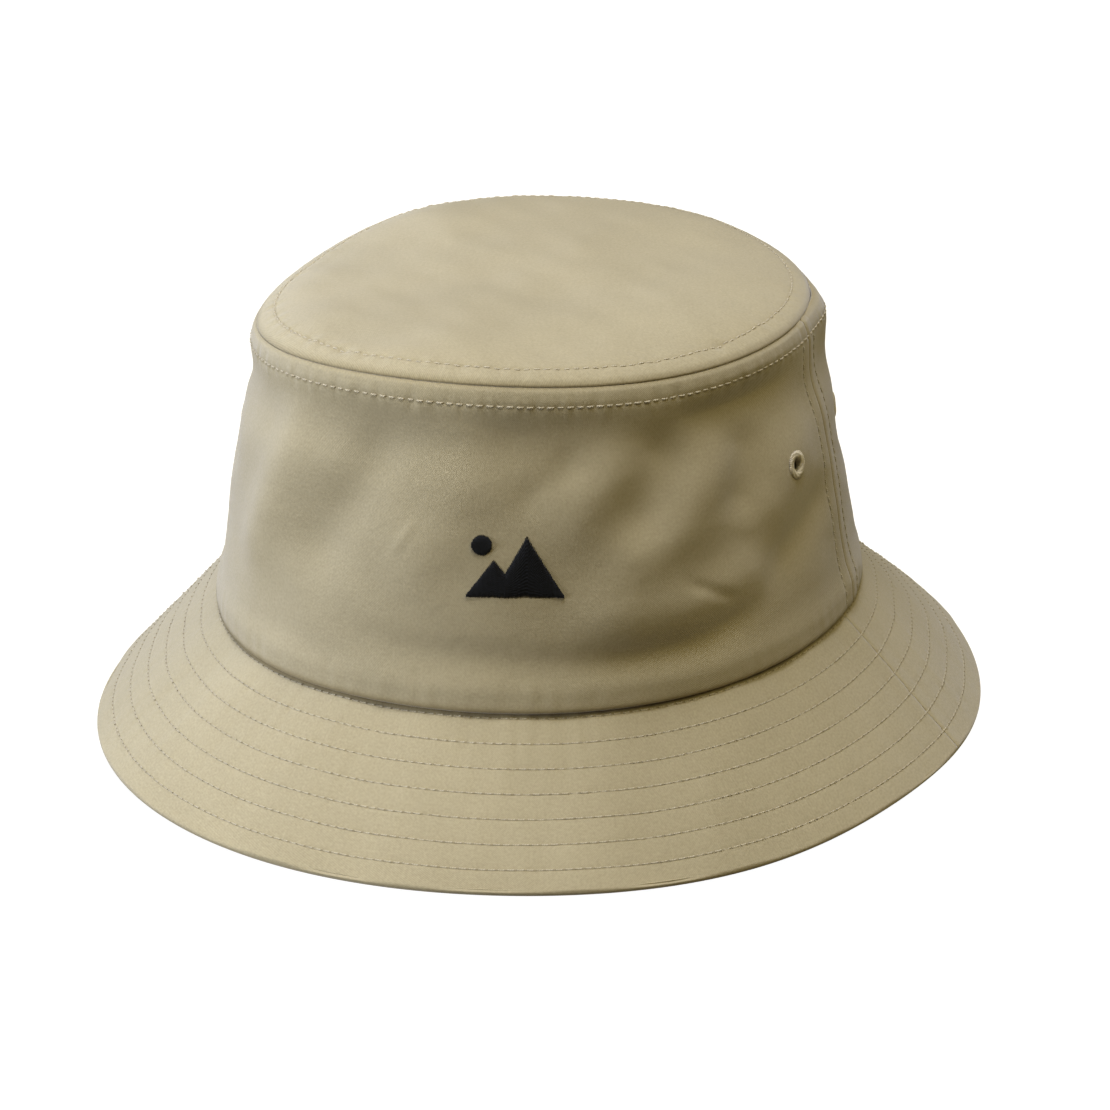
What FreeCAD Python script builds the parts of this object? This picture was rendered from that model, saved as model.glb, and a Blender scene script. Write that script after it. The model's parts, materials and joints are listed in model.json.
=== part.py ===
"""Bucket hat in cotton twill: sewn crown, stitched brim, sweatband, seam tapes, eyelets and a hinged care label.

Units are millimetres. +Z is up, the front of the hat faces -Y, and the origin is at the centre of the brim's
edge, on the surface that the hat stands on. Every cloth layer is a closed outline in the plane of radius and
height, turned about Z and then stretched along Y, because a hat is an oval and not a circle.
"""
import FreeCAD
import Part

import math
import os

# ---- Driving dimensions ----
OVAL = 1.03              # depth of the hat, front to back, over its width
SEAM_RADIUS = 94.6       # half the crown's width at the brim seam
CROWN_HEIGHT = 88.9      # brim seam to tip seam
TIP_RADIUS = 81.2        # half the width of the tip at its seam
TIP_RISE = 5.6           # how far the middle of the tip stands above its seam
BRIM_WIDTH = 53.5        # brim seam to brim edge, along the cloth
BRIM_SLOPE = math.radians(46.0)   # below horizontal

TWILL = 0.7              # thickness of the shell cloth
INTERLINING = 0.75       # stiff layer inside the brim
GAP = 0.16               # room between layers that lie on each other, for the cloth's fuzz
EDGE_FLAT = 0.4          # height pressed off the brim's lower corner, which makes its flat foot

SEAM_GAP = 0.36          # between the tip and the wall, where the two cloths turn in
FLANGE_HEIGHT = 8.0      # brim seam allowances, turned up inside the crown
BAND_HEIGHT = 32.0       # sweatband
BAND_PLY = 0.5           # one ply of the folded sweatband
BAND_CORE = 0.4          # non-woven stiffener inside it
BAND_LIFT = 0.6          # sweatband's lower edge above the brim seam

TAPE = 0.4               # thickness of the seam tapes
SIDE_TAPE_WIDTH = 14.0
CROWN_TAPE_REACH = 7.0   # crown seam tape to each side of the tip seam, along the cloth

THREAD_WIDTH = 0.5
THREAD_HEIGHT = 0.35
SEAM_ROW_OFFSET = 5.0    # topstitching to each side of a crown seam
EDGE_ROW = 2.0           # first brim row, beside the crown
FIRST_ROW = 9.6          # second brim row
ROW_PITCH = 7.50         # from then on
ROW_COUNT = 6

EYELET_LEFT = 74.0       # degrees from the front, and the same from the back
EYELET_RIGHT = 80.0      # the right side's pair lies closer to its seam
EYELET_HEIGHT = 53.0     # above the brim seam
EYELET_HOLE = 1.9        # radius of the air hole
EYELET_BARREL = 2.5      # radius of the thread wrapped through the cloth
EYELET_FLANGE = 4.5      # radius of the thread on the cloth
EYELET_BUILD = 0.5       # height of the thread on the cloth

EMBLEM_ANGLE = 13.5      # degrees from the front towards +X
EMBLEM_HEIGHT = 40.5     # above the brim seam
EMBLEM_BUILD = 0.7
BACKING_WIDTH = 36.0
BACKING_HEIGHT = 24.0
BACKING = 0.25

LABEL_ANGLE = 150.0      # degrees from the front towards +X
LABEL_WIDTH = 22.0
LABEL_LENGTH = 36.0
LABEL_THICKNESS = 0.5
LABEL_TAB = 7.0
LABEL_HINGE_HEIGHT = 76.0    # above the brim seam
LABEL_CLEARANCE = 1.3    # hanging flap to the wall behind its middle: its corners need the room
FOLD_GAP = 0.35          # from the fold to the flap below it, and half as much as to the sewn tab above it

# ---- Places worked out from them ----
BRIM_THICKNESS = 2 * TWILL + INTERLINING + 2 * GAP
BRIM_ALONG = (math.cos(BRIM_SLOPE), -math.sin(BRIM_SLOPE))
BRIM_UP = (math.sin(BRIM_SLOPE), math.cos(BRIM_SLOPE))
FLANGE_RADIUS = SEAM_RADIUS - TWILL - GAP      # outer face of the brim's turned-up allowance
BRIM_DROP = BRIM_WIDTH * math.sin(BRIM_SLOPE) + BRIM_THICKNESS * math.cos(BRIM_SLOPE)
SEAM_Z = BRIM_DROP - EDGE_FLAT + GAP           # height of the brim seam above the table
TIP_Z = SEAM_Z + CROWN_HEIGHT

# The side wall's outer face, as radius at height above the brim seam. It rolls over into the tip seam.
WALL = [(SEAM_RADIUS, 0.0), (94.7, 5.0), (93.4, 16.0), (92.2, 29.0), (90.9, 42.0), (89.5, 55.0),
        (88.2, 68.0), (86.7, 79.0), (85.3, 84.5), (83.5, 87.4), (TIP_RADIUS, CROWN_HEIGHT)]
# The tip's outer face, as radius and height above the brim seam, from its seam to its middle.
TIP = [(TIP_RADIUS, CROWN_HEIGHT), (77.0, CROWN_HEIGHT + 1.3), (68.0, CROWN_HEIGHT + 2.7),
       (50.0, CROWN_HEIGHT + 4.3), (25.0, CROWN_HEIGHT + 5.3), (0.0, CROWN_HEIGHT + TIP_RISE)]


# ---- Outlines in the plane of radius and height ----
def curve_through(points):
    """A smooth curve through (radius, height above the brim seam) points."""
    line = Part.BSplineCurve()
    line.interpolate([FreeCAD.Vector(r, 0, z + SEAM_Z) for r, z in points])
    return line


WALL_LINE = curve_through(WALL)
TIP_LINE = curve_through(TIP)


def offset_points(line, depth, low, high, count=31):
    """Points depth inside a wall or tip line, between two shares of its length, as (radius, z)."""
    first, last = line.FirstParameter, line.LastParameter
    points = []
    for k in range(count):
        u = first + (last - first) * (low + (high - low) * k / (count - 1))
        here, along = line.value(u), line.tangent(u)[0]
        points.append((here.x - depth * along.z, here.z + depth * along.x))
    return points


def share_at_height(height):
    """The share of the wall line's length that lies below a height above the brim seam."""
    low, high = 0.0, 1.0
    for _ in range(50):
        middle = (low + high) / 2
        if offset_points(WALL_LINE, 0, middle, 1)[0][1] - SEAM_Z < height:
            low = middle
        else:
            high = middle
    return low


def wall_at(height, depth=0.0):
    """(radius, z) of the wall at a height above the brim seam, depth inside its outer face."""
    share = share_at_height(height)
    return offset_points(WALL_LINE, depth, share, 1)[0]


def outline(*stretches):
    """A closed face in the plane Y = 0. Long stretches are smooth curves. Short ones, and the joins, are lines."""
    edges = []
    for k, stretch in enumerate(stretches):
        points = [FreeCAD.Vector(r, 0, z) for r, z in stretch]
        if len(points) > 2:
            line = Part.BSplineCurve()
            line.interpolate(points)
            edges.append(line.toShape())
        elif len(points) == 2:
            edges.append(Part.makeLine(*points))
        radius, z = stretches[(k + 1) % len(stretches)][0]
        following = FreeCAD.Vector(radius, 0, z)
        if (following - points[-1]).Length > 1e-6:
            edges.append(Part.makeLine(points[-1], following))
    return Part.Face(Part.Wire(Part.__sortEdges__(edges)))


def corners(*points):
    """A closed face with straight sides."""
    return outline(*[[point] for point in points])


def layer(line, outer_depth, inner_depth, low=0.0, high=1.0, count=31):
    """The outline of a cloth layer between two depths inside a wall or tip line."""
    outer = offset_points(line, outer_depth, low, high, count)
    inner = offset_points(line, inner_depth, low, high, count)
    return outline(outer, inner[::-1])


def brim_point(along, depth):
    """A point on the brim: distance out from the seam, and depth below the upper face."""
    return (FLANGE_RADIUS + along * BRIM_ALONG[0] - depth * BRIM_UP[0],
            SEAM_Z - GAP + along * BRIM_ALONG[1] - depth * BRIM_UP[1])


def brim_at_radius(radius, depth):
    """The point of a brim layer's face that has a given radius."""
    return brim_point((radius - FLANGE_RADIUS + depth * BRIM_UP[0]) / BRIM_ALONG[0], depth)


# ---- From an outline to a solid ----
UP = FreeCAD.Vector(0, 0, 1)
CENTRE = FreeCAD.Vector(0, 0, 0)
STRETCH = FreeCAD.Matrix(1, 0, 0, 0, 0, OVAL, 0, 0, 0, 0, 1, 0, 0, 0, 0, 1)


def turned(face, start=-180.0, sweep=360.0):
    """The outline turned about Z and stretched to the oval. Angles are from the front (-Y) towards +X."""
    held = face.copy()
    held.rotate(CENTRE, UP, start - 90)
    return held.revolve(CENTRE, UP, sweep).transformGeometry(STRETCH)


def front_half(face):
    return turned(face, -90, 180)


def back_half(face):
    return turned(face, 90, 180)


def on_wall(angle, height, depth=0.0):
    """A point on the side wall and the wall's outward direction there."""
    radius, z = wall_at(height, depth)
    below, above = wall_at(height - 1), wall_at(height + 1)
    lean = math.atan2(below[0] - above[0], above[1] - below[1])
    a = math.radians(angle)
    place = FreeCAD.Vector(radius * math.sin(a), -radius * math.cos(a) * OVAL, z)
    level = FreeCAD.Vector(math.sin(a), -math.cos(a) / OVAL, 0).normalize()
    return place, (level * math.cos(lean) + UP * math.sin(lean)).normalize()


def stand_on(shape, place, outward):
    """Moves a shape made about the origin, facing +Z with its top towards +Y, onto the wall."""
    sideways = UP.cross(outward).normalize()
    upward = outward.cross(sideways)
    shape.transformShape(FreeCAD.Matrix(
        sideways.x, upward.x, outward.x, place.x,
        sideways.y, upward.y, outward.y, place.y,
        sideways.z, upward.z, outward.z, place.z,
        0, 0, 0, 1))
    return shape


# ---- Crown ----
def eyelet_angles():
    return {"front_left": EYELET_LEFT, "front_right": -EYELET_RIGHT,
            "back_left": 180 - EYELET_LEFT, "back_right": EYELET_RIGHT - 180}


def eyelet_solid(angle, outer, inner, low, high):
    """A tube on an eyelet's axis, between two heights over the cloth."""
    tube = Part.makeCylinder(outer, high - low, FreeCAD.Vector(0, 0, low))
    if inner:
        tube = tube.cut(Part.makeCylinder(inner, high - low, FreeCAD.Vector(0, 0, low)))
    return stand_on(tube, *on_wall(angle, EYELET_HEIGHT))


def crown_panel(half, names):
    """One half of the side wall, with its two eyelet holes."""
    panel = half(layer(WALL_LINE, 0, TWILL))
    for name in names:
        hole = eyelet_solid(eyelet_angles()[name], EYELET_BARREL + GAP, 0, -4, 4)
        panel = panel.cut(hole)
    return panel


def crown_tip():
    """The domed oval that closes the crown."""
    low = SEAM_GAP / TIP_LINE.length()
    outer = offset_points(TIP_LINE, 0, low, 1)
    inner = offset_points(TIP_LINE, TWILL, low, 1)
    outer[-1] = (0.0, outer[-1][1])
    inner[-1] = (0.0, inner[-1][1])
    return turned(outline(outer, inner[::-1]))


def eyelet(angle):
    """Thread wrapped round an air hole: a barrel through the cloth and a ring on each face of it."""
    top, bottom = GAP, -TWILL - 2 * GAP
    barrel = eyelet_solid(angle, EYELET_BARREL, EYELET_HOLE, bottom - EYELET_BUILD, top + EYELET_BUILD)
    outside = eyelet_solid(angle, EYELET_FLANGE, EYELET_HOLE, top, top + EYELET_BUILD)
    inside = eyelet_solid(angle, EYELET_FLANGE, EYELET_HOLE, bottom - EYELET_BUILD, bottom)
    return barrel.fuse([outside, inside]).removeSplitter()


# ---- Brim ----
TOP_OUTER = TWILL + GAP                      # depths inside the wall of the two turned-up allowances
TOP_INNER = TOP_OUTER + TWILL
UNDER_OUTER = TOP_INNER + GAP
UNDER_INNER = UNDER_OUTER + TWILL


def flange_face(depth):
    """One face of an allowance that is turned up against the inside of the wall, from the bottom up."""
    return offset_points(WALL_LINE, depth, 0, share_at_height(FLANGE_HEIGHT), 5)


def brim_top():
    """Upper cloth: seam allowance inside the crown, the slope, and a lip over the interlining's edge."""
    lip = TWILL + INTERLINING + GAP
    return outline(
        flange_face(TOP_OUTER)[::-1],
        [brim_point(0, 0)],
        [brim_point(BRIM_WIDTH, 0)],
        [brim_point(BRIM_WIDTH, lip)],
        [brim_point(BRIM_WIDTH - TWILL, lip)],
        [brim_point(BRIM_WIDTH - TWILL, TWILL)],
        [brim_at_radius(SEAM_RADIUS - TOP_INNER, TWILL)],
        flange_face(TOP_INNER))


def brim_interlining():
    """Stiff layer that fills the brim between its two cloths."""
    top, bottom = TWILL + GAP, TWILL + GAP + INTERLINING
    return corners(brim_point(1, top), brim_point(BRIM_WIDTH - TWILL - GAP, top),
                   brim_point(BRIM_WIDTH - TWILL - GAP, bottom), brim_point(1, bottom))


def brim_under(half):
    """One half of the lower cloth, with its own allowance. Its lower corner is pressed flat on the table."""
    top, bottom = BRIM_THICKNESS - TWILL, BRIM_THICKNESS
    cloth = half(outline(
        flange_face(UNDER_OUTER)[::-1],
        [brim_at_radius(SEAM_RADIUS - UNDER_OUTER, top)],
        [brim_point(BRIM_WIDTH, top)],
        [brim_point(BRIM_WIDTH, bottom)],
        [brim_at_radius(SEAM_RADIUS - UNDER_INNER, bottom)],
        flange_face(UNDER_INNER)))
    side = 4 * SEAM_RADIUS
    table = Part.makeBox(side, side, 10, FreeCAD.Vector(-side / 2, -side / 2, -10))
    return cloth.cut(table)


# ---- Inside the crown ----
BAND_OUTER = UNDER_INNER + GAP                # depth of the sweatband's outer face inside the wall
BAND_INNER = BAND_OUTER + 2 * BAND_PLY + BAND_CORE + 2 * GAP


def sweatband():
    """A strip folded over its stiffener. Both raw edges are at the bottom, in the brim seam."""
    low, high = share_at_height(BAND_LIFT), share_at_height(BAND_HEIGHT)
    fold = share_at_height(BAND_HEIGHT - BAND_PLY)
    return outline(
        offset_points(WALL_LINE, BAND_OUTER, low, high),
        offset_points(WALL_LINE, BAND_INNER, low, high)[::-1],
        offset_points(WALL_LINE, BAND_INNER - BAND_PLY, low, fold),
        offset_points(WALL_LINE, BAND_OUTER + BAND_PLY, low, fold)[::-1])


def sweatband_core():
    low, high = share_at_height(BAND_LIFT), share_at_height(BAND_HEIGHT - BAND_PLY - GAP)
    return layer(WALL_LINE, BAND_OUTER + BAND_PLY + GAP, BAND_INNER - BAND_PLY - GAP, low, high)


def crown_seam_tape():
    """Binding over the tip seam: it lies on the inside of the tip, turns the corner and runs down the wall."""
    near, far = TWILL + GAP, TWILL + GAP + TAPE
    turn = share_at_height(CROWN_HEIGHT - CROWN_TAPE_REACH)
    reach = CROWN_TAPE_REACH / TIP_LINE.length()
    wall_end, tip_end = 0.97, 0.03
    outer = offset_points(WALL_LINE, near, turn, wall_end, 9) + offset_points(TIP_LINE, near, tip_end, reach, 5)
    inner = offset_points(WALL_LINE, far, turn, wall_end - 0.005, 9)
    inner += offset_points(TIP_LINE, far, tip_end + 0.005, reach, 5)
    return outline(outer, inner[::-1])


def side_seam_tape(middle):
    """Binding over a side seam, from the brim's allowance up to the crown seam tape."""
    half = math.degrees(SIDE_TAPE_WIDTH / 2 / SEAM_RADIUS)
    low = share_at_height(FLANGE_HEIGHT + 0.5)
    high = share_at_height(CROWN_HEIGHT - CROWN_TAPE_REACH - 0.5)
    face = layer(WALL_LINE, TWILL + GAP, TWILL + GAP + TAPE, low, high)
    return turned(face, middle - half, 2 * half)


# ---- Stitching ----
def brim_row(along):
    """One round of lockstitch: needle thread on the upper cloth and bobbin thread on the lower."""
    half = THREAD_WIDTH / 2
    rings = []
    for near, far in ((-GAP - THREAD_HEIGHT, -GAP),
                      (BRIM_THICKNESS + GAP, BRIM_THICKNESS + GAP + THREAD_HEIGHT)):
        rings.append(turned(corners(brim_point(along - half, near), brim_point(along + half, near),
                                    brim_point(along + half, far), brim_point(along - half, far))))
    return Part.makeCompound(rings)


def crown_row(line, distance):
    """A round of topstitching at a distance along the wall or tip from one end of its line."""
    share, half = distance / line.length(), THREAD_WIDTH / 2 / line.length()
    return turned(layer(line, -GAP - THREAD_HEIGHT, -GAP, share - half, share + half, 2))


def side_rows(middle):
    """Two upright rows of topstitching, one to each side of a side seam."""
    offset = math.degrees(SEAM_ROW_OFFSET / SEAM_RADIUS)
    width = math.degrees(THREAD_WIDTH / SEAM_RADIUS)
    high = share_at_height(CROWN_HEIGHT - SEAM_ROW_OFFSET)
    face = layer(WALL_LINE, -GAP - THREAD_HEIGHT, -GAP, share_at_height(1), high - 0.005)
    return Part.makeCompound([turned(face, middle + side * offset - width / 2, width) for side in (-1, 1)])


# ---- Emblem: two peaks and a sun, in satin stitch ----
PEAKS = [(-14.3, -8.6), (-6.2, 2.0), (-2.8, -1.6), (3.4, 8.6), (14.3, -8.6)]
SUN_PLACE, SUN_RADIUS = (-9.6, 5.6), 2.9


def emblem():
    skin = turned(layer(WALL_LINE, -GAP - EMBLEM_BUILD, -GAP, share_at_height(28), share_at_height(54)),
                  EMBLEM_ANGLE - 12, 24)
    ring = [FreeCAD.Vector(x, y, -6) for x, y in PEAKS]
    peaks = Part.Face(Part.makePolygon(ring + ring[:1])).extrude(FreeCAD.Vector(0, 0, 12))
    sun = Part.makeCylinder(SUN_RADIUS, 12, FreeCAD.Vector(*SUN_PLACE, -6))
    place, outward = on_wall(EMBLEM_ANGLE, EMBLEM_HEIGHT)
    return Part.makeCompound([skin.common(stand_on(shape, place, outward)).Solids[0] for shape in (peaks, sun)])


def emblem_backing():
    half = math.degrees(BACKING_WIDTH / 2 / 91)
    low = share_at_height(EMBLEM_HEIGHT - BACKING_HEIGHT / 2)
    high = share_at_height(EMBLEM_HEIGHT + BACKING_HEIGHT / 2)
    face = layer(WALL_LINE, TWILL + GAP, TWILL + GAP + BACKING, low, high)
    return turned(face, EMBLEM_ANGLE - half, 2 * half)


# ---- Care label ----
def care_label_tab():
    """The label's sewn end, flat against the crown seam tape and the wall below it."""
    half = math.degrees(LABEL_WIDTH / 2 / wall_at(LABEL_HINGE_HEIGHT)[0])
    depth = TWILL + TAPE + 2 * GAP
    low = share_at_height(LABEL_HINGE_HEIGHT + 2 * FOLD_GAP)
    high = share_at_height(LABEL_HINGE_HEIGHT + LABEL_TAB)
    return turned(layer(WALL_LINE, depth, depth + LABEL_THICKNESS, low, high), LABEL_ANGLE - half, 2 * half)


def care_label():
    """The flap: a flat strip that hangs from the fold under the tab."""
    place, outward = on_wall(LABEL_ANGLE, LABEL_HINGE_HEIGHT, TWILL)
    outward.z = 0
    outward.normalize()
    strip = Part.makeBox(LABEL_WIDTH, LABEL_LENGTH - FOLD_GAP, LABEL_THICKNESS,
                         FreeCAD.Vector(-LABEL_WIDTH / 2, -LABEL_LENGTH, -LABEL_THICKNESS))
    place -= outward * LABEL_CLEARANCE
    axis = place - outward * (LABEL_THICKNESS / 2)
    along = UP.cross(outward)
    print(f"care label hinge at {axis.x:.4f}, {axis.y:.4f}, {axis.z:.4f}, "
          f"along {along.x:.5f}, {along.y:.5f}, {along.z:.5f}")
    return stand_on(strip, place, outward)


# ---- All the pieces ----
def pieces():
    made = {
        "crown_tip": crown_tip(),
        "crown_front_panel": crown_panel(front_half, ("front_left", "front_right")),
        "crown_back_panel": crown_panel(back_half, ("back_left", "back_right")),
        "brim_top_front": front_half(brim_top()),
        "brim_top_back": back_half(brim_top()),
        "brim_interlining_front": front_half(brim_interlining()),
        "brim_interlining_back": back_half(brim_interlining()),
        "brim_under_front": brim_under(front_half),
        "brim_under_back": brim_under(back_half),
        "sweatband": turned(sweatband()),
        "sweatband_stiffener": turned(sweatband_core()),
        "crown_seam_tape": turned(crown_seam_tape()),
        "side_seam_tape_left": side_seam_tape(90),
        "side_seam_tape_right": side_seam_tape(-90),
        "side_seam_stitching_left": side_rows(90),
        "side_seam_stitching_right": side_rows(-90),
        "tip_topstitch": crown_row(TIP_LINE, SEAM_ROW_OFFSET),
        "wall_topstitch": crown_row(WALL_LINE, WALL_LINE.length() - SEAM_ROW_OFFSET),
        "brim_edge_stitch_at_crown": brim_row(EDGE_ROW),
        "front_emblem": emblem(),
        "emblem_backing": emblem_backing(),
        "care_label": care_label(),
        "care_label_tab": care_label_tab(),
    }
    for k in range(ROW_COUNT):
        made[f"brim_stitch_row_{k + 1}"] = brim_row(FIRST_ROW + k * ROW_PITCH)
    for name, angle in eyelet_angles().items():
        made[f"eyelet_{name}"] = eyelet(angle)
    return made


def main():
    os.makedirs("parts", exist_ok=True)
    for name, shape in pieces().items():
        good = all(solid.isValid() and solid.Volume > 0 for solid in shape.Solids)
        print(f"{name:28s} solids {len(shape.Solids)}  volume {shape.Volume:9.1f}  {'ok' if good else 'BAD'}")
        shape.exportStep(f"parts/{name}.step")
    print(f"seam height {SEAM_Z:.3f}, tip seam height {TIP_Z:.3f}")


main()
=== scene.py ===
"""Bucket hat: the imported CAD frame, dressed in quilted twill, single stitches, worked eyelets and tapes.

Lengths are in millimetres until a mesh is made. Angles run from the front of the hat (-Y) towards +X.
"""
import bpy
import json
import math
import numpy as np
from mathutils import Matrix, Vector


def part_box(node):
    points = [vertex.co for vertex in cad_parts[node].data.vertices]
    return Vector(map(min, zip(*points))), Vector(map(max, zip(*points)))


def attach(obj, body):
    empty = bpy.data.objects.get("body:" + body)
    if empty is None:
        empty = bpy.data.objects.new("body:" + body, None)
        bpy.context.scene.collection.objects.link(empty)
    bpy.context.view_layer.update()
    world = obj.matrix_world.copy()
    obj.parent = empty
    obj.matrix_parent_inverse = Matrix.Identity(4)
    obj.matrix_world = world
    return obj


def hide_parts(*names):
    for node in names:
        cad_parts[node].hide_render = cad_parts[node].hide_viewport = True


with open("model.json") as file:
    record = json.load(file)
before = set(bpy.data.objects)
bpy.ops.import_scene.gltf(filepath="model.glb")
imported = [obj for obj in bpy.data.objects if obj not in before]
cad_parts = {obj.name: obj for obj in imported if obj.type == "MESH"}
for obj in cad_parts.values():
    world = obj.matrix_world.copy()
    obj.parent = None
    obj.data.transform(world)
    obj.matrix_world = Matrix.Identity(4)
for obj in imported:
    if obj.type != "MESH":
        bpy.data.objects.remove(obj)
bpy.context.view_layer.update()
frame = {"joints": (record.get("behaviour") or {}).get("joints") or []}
rng = np.random.default_rng(7)


# ---- Sizes, some read from the CAD ----
def cad(node):
    """A CAD node's lowest and highest corners."""
    low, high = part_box(node)
    return np.array(low) * 1000, np.array(high) * 1000


WALL_LOW, WALL_HIGH = cad("crown_front_panel")
TIP_HIGH = cad("crown_tip")[1]
LIFT = 3.0               # the brim dips at its sides, so the rest of it is this far off the table
BASE_Z = WALL_LOW[2] + LIFT
HEIGHT = WALL_HIGH[2] - WALL_LOW[2] - 1.0                  # of the wall, from the brim seam to the tip seam
BASE_A, BASE_B = WALL_HIGH[0] - 0.3, WALL_HIGH[0] * 1.034  # half the width and depth at the brim seam
TIP_A, TIP_B = TIP_HIGH[0] - 0.8, TIP_HIGH[1] - 2.6        # and at the tip seam
WIDTH = 53.9             # of the brim, from seam to edge
CLOTH = 0.75             # thickness of one layer of twill
LAYERS = 2.3             # thickness of the whole brim
FLANGE = 8.0             # the brim's seam allowances, turned up inside the crown
ROWS = [2.2] + [9.6 + 7.4 * k for k in range(6)]           # the brim's stitching, out from its seam
PITCH = 2.7              # from one stitch to the next
STITCH_OFF = 5.4         # from a crown seam to the topstitching beside it
SIDE_SEAM = math.radians(90)
BRIM_SEAMS = (math.radians(86), math.radians(-92))
LABEL_ANGLE = math.radians(150)

TURN = 2 * math.pi
UP = np.array([0.0, 0, 1])
# radii that turn an angle into millimetres along the cloth, and back
WALL_RADIUS, SIDE_RADIUS, FRONT_RADIUS, EYELET_RADIUS, LABEL_RADIUS = 88, 90, 93, 89, 86
TIP_RADIUS, BRIM_RADIUS = 80, 110


# ---- Curves and noise ----
def waves(angle, mean, *terms):
    """mean plus (cosine, sine) pairs for once, twice, three times round the hat."""
    total = mean + 0 * angle
    for k, (c, s) in enumerate(terms, 1):
        total = total + c * np.cos(k * angle) + s * np.sin(k * angle)
    return total


def plan(angle, a, b):
    return np.stack([a * np.sin(angle), -b * np.cos(angle), 0 * angle], -1)


def plan_normal(angle, a, b):
    n = np.stack([np.sin(angle) / a, -np.cos(angle) / b, 0 * angle], -1)
    return unit(n)


def unit(vectors):
    return vectors / np.linalg.norm(vectors, axis=-1, keepdims=True)


def bell(x, width):
    return np.exp(-(x / width) ** 2)


def wrap(angle):
    return (angle + math.pi) % TURN - math.pi


def soft_noise(x, y, scale, seed):
    """Smooth noise from a few sine waves in random directions: the same each run."""
    source = np.random.default_rng(seed)
    count = 9
    total = 0 * x
    for _ in range(count):
        turn, phase = source.uniform(0, TURN, 2)
        size = scale * source.uniform(0.6, 1.6)
        total = total + np.sin(TURN * (x * math.cos(turn) + y * math.sin(turn)) / size + phase)
    return total / math.sqrt(count)


def ring_noise(angle, radius, y, scale, seed):
    """Noise over a round surface. It dies away at the middle of the back, where its two ends meet."""
    turn = wrap(angle)
    return soft_noise(turn * radius, y, scale, seed) * np.clip((math.pi - np.abs(turn)) / 0.15, 0, 1)


# ---- The crown's side wall ----
# Where the tip seam sinks or rises: (degrees, spread in radians, rise)
TIP_BUMPS = [(-168, 1.2, -3.0), (159, 0.32, 1.2), (-128, 0.3, 0.8)]

# Ridges and hollows in the wall: points along each (degrees, height), its half width, and how far it stands
# out. The front's come first, from the wearer's right to the left.
FOLDS = [
    ([(-29, 84), (-38, 52), (-48, 16)], 10, 2.4),
    ([(-8, 82), (-17, 57), (-32, 26)], 9.5, -2.8),
    ([(11, 78), (2, 54), (-10, 27)], 11, 1.5),
    ([(28, 70), (11, 54)], 5, -0.8),
    ([(38, 76), (20, 42)], 8, 1.3),
    ([(47, 76), (32, 42)], 8, -2.1),
    ([(38, 74), (62, 77), (86, 80)], 6, -1.5),             # tucked in under the band at the top
    ([(59, 68), (42, 43), (24, 29)], 9, 1.8),
    ([(65, 72), (56, 42)], 8, -1.9),
    ([(86, 64), (58, 35)], 9, 1.5),
    ([(90, 42), (60, 24)], 6.5, -1.9),
    ([(20, 25), (44, 25), (68, 31)], 7, 2.0),              # bulge over the lowest crease
    ([(-32, 20), (-6, 16), (18, 14), (34, 13), (48, 14), (60, 18), (72, 24)], 4.6, -0.8),
    ([(22, 13), (48, 14), (66, 20)], 4.2, -1.0),
    ([(43, 33), (56, 22)], 1.9, -0.6),                     # small sharp creases
    ([(-4, 52), (-9, 40)], 1.5, 0.22),
    ([(118, 68), (104, 36)], 10, -2.2),                    # the back's, on to the wearer's right
    ([(132, 66), (120, 26)], 10, -1.5),
    ([(154, 84), (146, 26)], 13, 1.4),                     # cloth held out by the care label behind it
    ([(174, 76), (168, 30)], 10, -1.9),
    ([(184, 70), (194, 24)], 11, 1.7),
    ([(-166, 74), (-154, 40)], 10, -2.3),
    ([(-146, 62), (-132, 30)], 11, 1.9),
    ([(-124, 70), (-114, 38)], 10, -2.1),
    ([(-98, 54), (-84, 28)], 11, 1.4),
    ([(-70, 68), (-64, 40)], 9, -1.4),
    ([(108, 16), (140, 13), (168, 14)], 5, -1.6),          # creases just over the brim
    ([(-160, 15), (-130, 14), (-104, 18)], 5, -1.5),
]
FOLD_END = 0.32          # the part of a fold's length over which it fades out, at each end


def base_curve(angle):
    """The brim seam."""
    points = plan(angle, BASE_A, BASE_B)
    points[..., 2] = BASE_Z + waves(angle, 0, (0, 0), (-0.2, 2.2), (1.2, -0.9))
    return points


def tip_curve(angle):
    """The seam between the wall and the tip."""
    out = waves(angle, 0, (0, 0), (1.6, -1.7), (-0.6, -0.5))
    points = plan(angle, TIP_A, TIP_B) + plan_normal(angle, TIP_A, TIP_B) * out[..., None]
    points[..., 2] = BASE_Z + HEIGHT + waves(angle, 0, (1.8, 1.1), (2.2, 0.9), (0.6, -1.2))
    for degrees, spread, rise in TIP_BUMPS:
        points[..., 2] += rise * bell(wrap(angle - math.radians(degrees)), spread)
    return points


def folds(angle, height):
    """The folds' relief. Each runs along its line of points and fades out towards its ends."""
    total = 0 * angle
    for points, width, depth in FOLDS:
        runs = [(wrap(math.radians(a2 - a1)) * WALL_RADIUS, h2 - h1)
                for (a1, h1), (a2, h2) in zip(points, points[1:])]
        lengths = [math.hypot(*run) for run in runs]
        near, along = 1e3 + 0 * angle, 0 * angle
        for k, (run, rise) in enumerate(runs):
            x = wrap(angle - math.radians(points[k][0])) * WALL_RADIUS
            y = height - points[k][1]
            share = np.clip((x * run + y * rise) / lengths[k] ** 2, 0, 1)
            distance = np.hypot(x - share * run, y - share * rise)
            passed = (sum(lengths[:k]) + share * lengths[k]) / sum(lengths)
            along = np.where(distance < near, passed, along)
            near = np.minimum(near, distance)
        fade = np.clip(np.minimum(along, 1 - along) / FOLD_END, 0, 1)
        total = total + depth * fade ** 2 * (3 - 2 * fade) * bell(near, width)
    return total


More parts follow.
